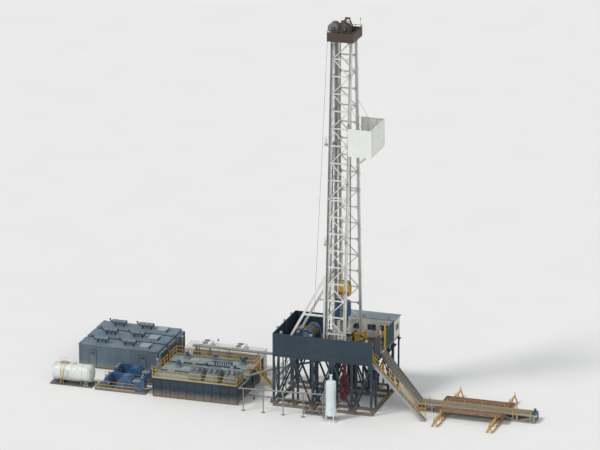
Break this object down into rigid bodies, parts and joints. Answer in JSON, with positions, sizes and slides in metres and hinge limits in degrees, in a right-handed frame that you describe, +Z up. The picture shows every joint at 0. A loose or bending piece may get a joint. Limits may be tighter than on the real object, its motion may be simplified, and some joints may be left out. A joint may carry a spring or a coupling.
{
  "type": "oil drilling rig, 1:2 scale model",
  "caption": "Land drilling rig: lattice mast with crown and racking board on a raised floor, hoisting block, doghouse, stairs, pipe ramp, mud tanks, pumps and power houses.",
  "frame": {"origin": "centre of the well at ground level, on the lower face of the blowout preventer's bottom flange", "axes": "+Z up; +X from the well along the pipe ramp and catwalk; +Y to the driller's side with the doghouse"},
  "size_m": [33.55, 10.4, 26.7455],
  "materials": {
    "mast_white": "weathered white paint, satin",
    "crown_brown": "dark weathered paint, satin",
    "navy": "dark blue-green paint, satin",
    "deck_grey": "worn deck plate, matt",
    "steel": "worn bare steel",
    "galvanised": "galvanised steel, matt",
    "safety_yellow": "yellow paint, satin",
    "roof_blue_grey": "blue-grey paint, satin",
    "machine_blue": "blue machine enamel, satin",
    "cream": "cream paint, satin",
    "wall_white": "white paint, satin",
    "vessel_white": "white paint, gloss",
    "glass": "window glass",
    "well_red": "red enamel, satin",
    "rope": "greased wire rope",
    "pipe_brown": "mill scale with light rust"
  },
  "bodies": {
    "rig": {"substructure_near": "navy", "substructure_far": "navy", "cross_beams": "navy", "floor_deck": "deck_grey", "rotary_table": "steel", "wind_walls": "navy", "stairs": "galvanised", "stair_rails": "safety_yellow", "pipe_ramp": "steel", "doghouse_walls": "cream", "doghouse_roof": "cream", "doghouse_base": "navy", "doghouse_windows": "glass", "drawworks": "machine_blue", "drawworks_drum": "steel", "raising_frame": "mast_white", "mast_shoes": "mast_white", "mast_lower_near": "mast_white", "mast_lower_far": "mast_white", "mast_lower_back": "mast_white", "mast_upper_near": "mast_white", "mast_upper_far": "mast_white", "mast_upper_back": "mast_white", "crown_frame": "crown_brown", "crown_sheaves": "steel", "crown_rail": "crown_brown", "racking_board": "mast_white", "racking_wind_wall": "wall_white", "guide_rail": "steel", "hoist_lines": "rope", "fast_and_dead_line": "rope", "mast_ladder": "mast_white", "blowout_preventer": "well_red", "flow_line": "roof_blue_grey", "gas_separator": "vessel_white", "separator_heads": "vessel_white", "choke_manifold": "roof_blue_grey", "separator_line": "roof_blue_grey", "mud_line": "roof_blue_grey", "mud_tanks": "navy", "tank_decks": "roof_blue_grey", "shale_shakers": "roof_blue_grey", "tank_rails": "safety_yellow", "mud_pumps": "machine_blue", "generator_houses": "roof_blue_grey", "control_house": "cream", "fuel_tank": "vessel_white", "fuel_tank_ends": "vessel_white", "catwalk": "steel", "pipe_racks": "safety_yellow", "rack_pipes": "pipe_brown"},
    "travelling_block": {"travelling_block": "safety_yellow", "top_drive": "machine_blue"}
  },
  "joints": [
    {"name": "block_hoist", "type": "slide", "parent": "rig", "child": "travelling_block", "axis": [0, 0, 1], "range_m": [0, 16], "deforming": ["hoist_lines"]}
  ]
}
